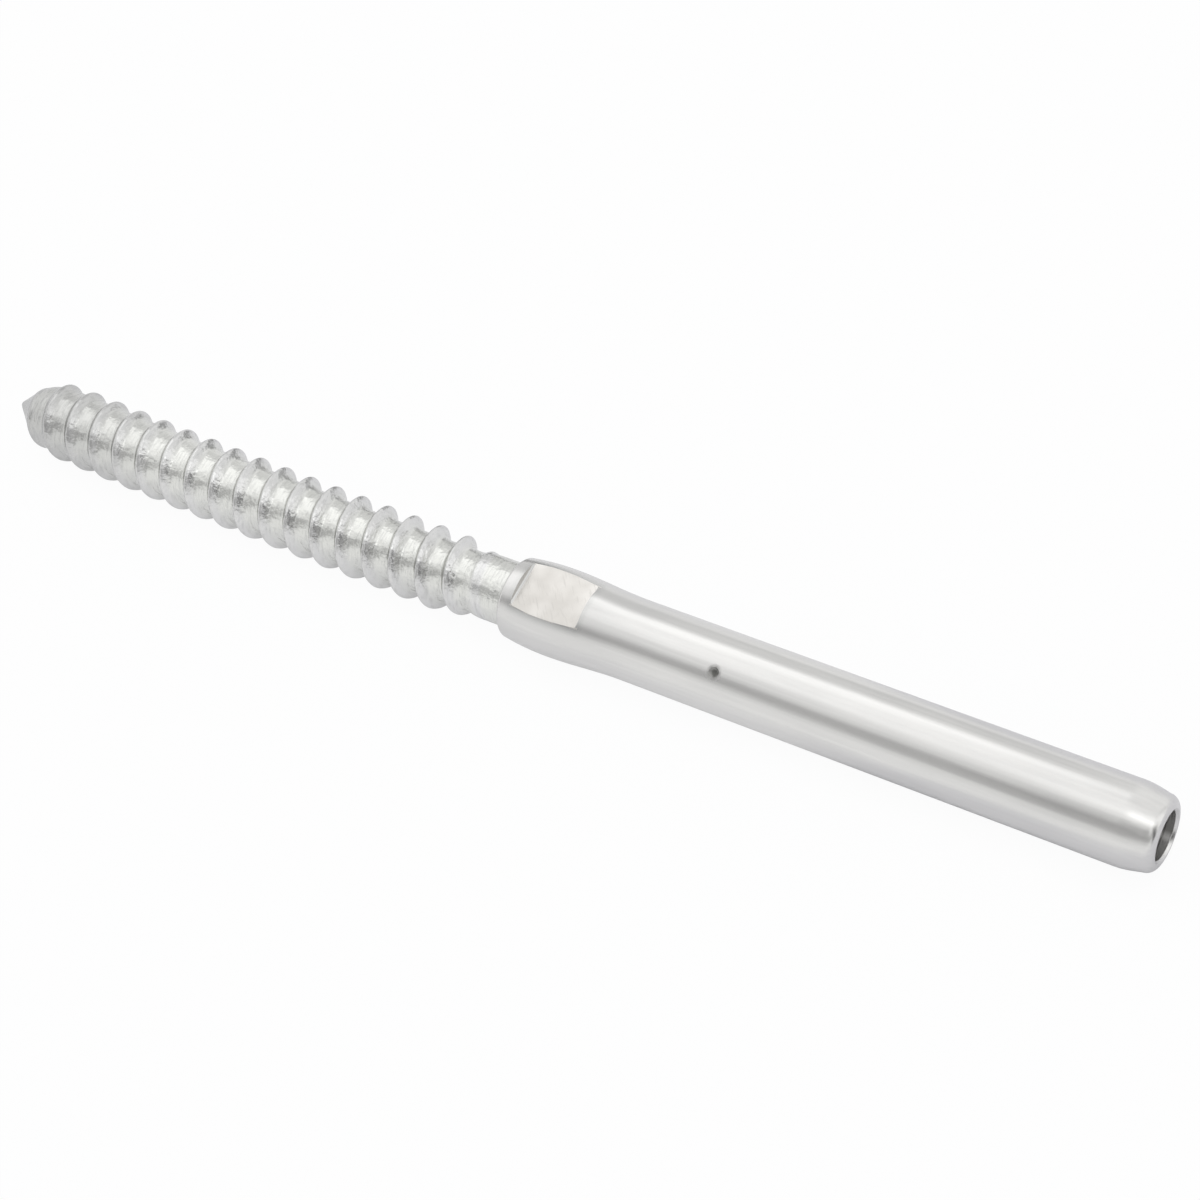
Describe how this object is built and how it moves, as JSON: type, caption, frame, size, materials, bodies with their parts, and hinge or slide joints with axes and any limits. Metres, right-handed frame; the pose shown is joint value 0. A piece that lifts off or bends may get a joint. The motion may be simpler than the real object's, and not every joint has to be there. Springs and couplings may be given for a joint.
{
  "type": "lag screw swage terminal",
  "caption": "Stainless steel terminal: a bored tube to be swaged onto a cable, a collar with spanner flats and a coarse lag screw thread with a point.",
  "frame": {"origin": "on the bar's axis, in the plane of the shoulder where the screw's neck meets the collar", "axes": "+X along the axis, out of the mouth of the cable bore; the lag screw points along -X; the two spanner flats face +Z and -Z"},
  "size_m": [0.1038, 0.0073, 0.0066],
  "materials": {
    "stainless_steel": "satin, tumbled stainless steel"
  },
  "bodies": {
    "root": {"swage_terminal": "stainless_steel"}
  },
  "joints": []
}
